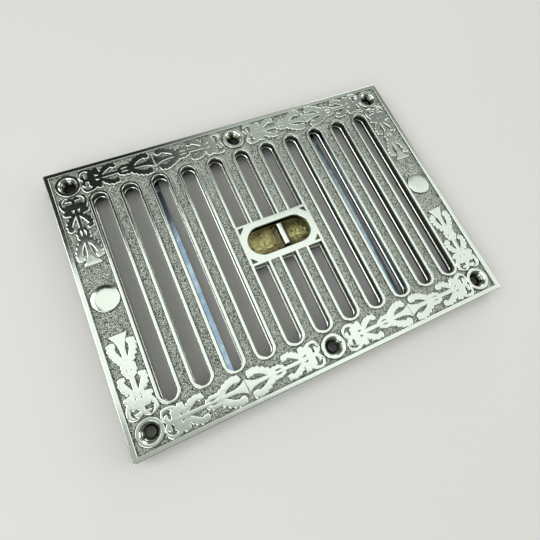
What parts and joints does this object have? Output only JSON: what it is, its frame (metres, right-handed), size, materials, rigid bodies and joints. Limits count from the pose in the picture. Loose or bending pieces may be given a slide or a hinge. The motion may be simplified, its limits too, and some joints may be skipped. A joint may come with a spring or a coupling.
{
  "type": "sliding ventilator grille",
  "caption": "Rectangular cast metal air grille with slots, a leaf and scroll border and a sliding shutter moved by a finger pull.",
  "frame": {"origin": "middle of the plate, in the plane of the flange's back edge, which meets the wall", "axes": "+X along the long side, +Y along the slots, +Z out of the polished face"},
  "size_m": [0.2286, 0.165, 0.011],
  "materials": {
    "front_plating": "cast brass, nickel plated, raised parts polished, ground stippled",
    "shutter_brass": "cast brass, plated on the raised parts, rough and bare in the finger hollow",
    "spring_steel": "spring steel, tempered blue",
    "screw_steel": "plain steel"
  },
  "bodies": {
    "grille": {"front_grille": "front_plating", "retaining_spring_left": "spring_steel", "retaining_spring_right": "spring_steel", "spring_screw_1": "screw_steel", "spring_screw_2": "screw_steel", "spring_screw_3": "screw_steel", "spring_screw_4": "screw_steel"},
    "shutter": {"shutter": "shutter_brass"}
  },
  "joints": [
    {"name": "shutter_slide", "type": "slide", "parent": "grille", "child": "shutter", "axis": [-1, 0, 0], "range_m": [0, 0.00887]}
  ]
}
